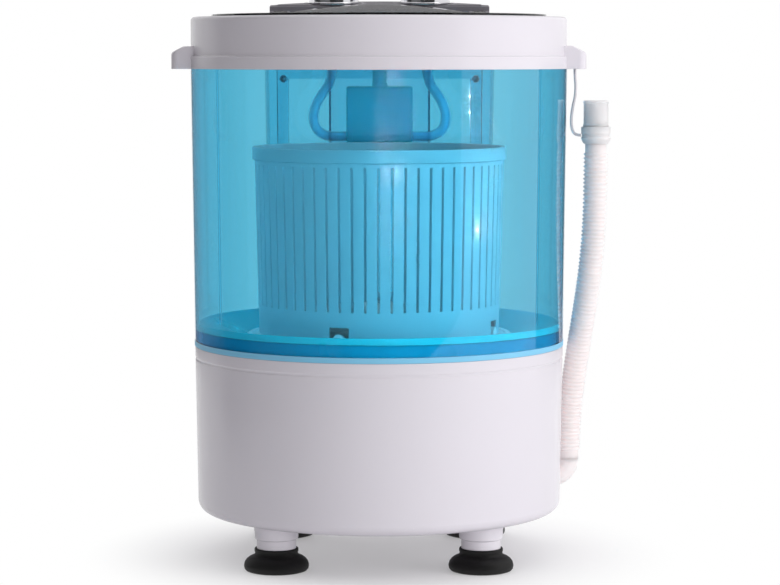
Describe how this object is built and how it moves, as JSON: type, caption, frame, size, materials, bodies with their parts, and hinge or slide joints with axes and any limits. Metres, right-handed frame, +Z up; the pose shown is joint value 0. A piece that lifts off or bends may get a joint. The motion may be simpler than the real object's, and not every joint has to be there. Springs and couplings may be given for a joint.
{
  "type": "mini washing machine",
  "caption": "Compact top-loading washing machine with a clear blue tub, slotted spin basket, domed lid, rear control console and side drain hose.",
  "frame": {"origin": "floor level on the tub's upright axis, midway between the four rubber feet", "axes": "+Z up along the tub's axis, -Y towards the front, +X towards the side with the drain hose"},
  "size_m": [0.3845, 0.3344, 0.5091],
  "materials": {
    "white_shell": "gloss",
    "clear_tub": "gloss",
    "clear_cover": "gloss",
    "white_basket": "satin",
    "white_pulsator": "satin",
    "smoked_lid": "gloss",
    "grey_console": "satin",
    "grey_panel": "satin",
    "chrome_knob": "polished",
    "knob_cap": "satin",
    "black_rubber": "matte",
    "white_hose": "satin",
    "white_fitting": "satin",
    "white_strap": "matte",
    "blue_duct": "gloss",
    "blue_box": "satin",
    "grey_loom": "matte",
    "grey_plastic": "matte",
    "steel": "brushed",
    "cast_alloy": "cast",
    "motor_paint": "satin",
    "can_plastic": "gloss",
    "belt_rubber": "matte"
  },
  "bodies": {
    "machine_body": {"base_shell": "white_shell", "foot_posts": "white_shell", "top_ring": "white_shell", "top_deck": "white_shell", "switch_tray": "white_shell", "grip_left": "white_shell", "grip_right": "white_shell", "tub": "clear_tub", "tub_floor": "clear_tub", "tub_partition": "clear_tub", "rear_cover": "clear_cover", "console": "grey_console", "panel_plate": "grey_panel", "foot_front_left": "black_rubber", "foot_front_right": "black_rubber", "foot_rear_left": "black_rubber", "foot_rear_right": "black_rubber", "shaft_seal": "black_rubber", "cable_gland": "black_rubber", "drain_hose": "white_hose", "hose_collar": "white_fitting", "hose_cuff": "white_fitting", "drain_elbow": "white_fitting", "hose_strap": "white_strap", "wiring_duct": "blue_duct", "terminal_box": "blue_box", "loom_sleeve": "blue_box", "loom_left": "grey_loom", "loom_right": "grey_loom", "wash_timer": "grey_plastic", "mode_switch": "grey_plastic", "drain_pipe": "grey_plastic", "rear_cover_screws": "steel", "hinge_pins": "steel", "bearing_upper": "steel", "bearing_lower": "steel", "housing_bolts": "steel", "motor_bracket": "steel", "motor_spacers": "steel", "bearing_housing": "cast_alloy", "motor": "motor_paint", "motor_capacitor": "can_plastic", "drive_belt": "belt_rubber"},
    "lid_body": {"lid": "smoked_lid"},
    "timer_body": {"timer_knob": "chrome_knob", "timer_cap": "knob_cap", "timer_shaft": "steel"},
    "mode_body": {"mode_knob": "chrome_knob", "mode_cap": "knob_cap", "mode_shaft": "steel"},
    "agitator_body": {"pulsator": "white_pulsator", "pulsator_screw": "steel", "drive_shaft": "steel", "driven_pulley": "cast_alloy", "pulley_nut": "steel"},
    "basket_body": {"spin_basket": "white_basket", "basket_plate": "white_basket"},
    "rotor_body": {"motor_shaft": "steel", "motor_rotor": "steel", "motor_pulley": "cast_alloy"}
  },
  "joints": [
    {"name": "lid_hinge", "type": "hinge", "parent": "machine_body", "child": "lid_body", "pos_m": [0, 0.106, 0.479], "axis": [-1, 0, 0], "range_deg": [0, 95]},
    {"name": "timer_turn", "type": "hinge", "parent": "machine_body", "child": "timer_body", "pos_m": [-0.0423, 0.137, 0.48897], "axis": [0, -0.1045, 0.9945], "range_deg": [-300, 0]},
    {"name": "mode_turn", "type": "hinge", "parent": "machine_body", "child": "mode_body", "pos_m": [0.0423, 0.137, 0.48897], "axis": [0, -0.1045, 0.9945], "range_deg": [-60, 60]},
    {"name": "pulsator_spin", "type": "hinge", "parent": "machine_body", "child": "agitator_body", "pos_m": [0, 0, 0.195], "axis": [0, 0, 1], "continuous": true},
    {"name": "basket_lift", "type": "slide", "parent": "agitator_body", "child": "basket_body", "axis": [0, 0, 1], "range_m": [0, 0.1]},
    {"name": "motor_spin", "type": "hinge", "parent": "machine_body", "child": "rotor_body", "pos_m": [-0.08, -0.025, 0.063], "axis": [0, 0, 1], "continuous": true}
  ],
  "couplings": [
    {"joint": "motor_spin", "follows": "pulsator_spin", "ratio": 4.321}
  ]
}
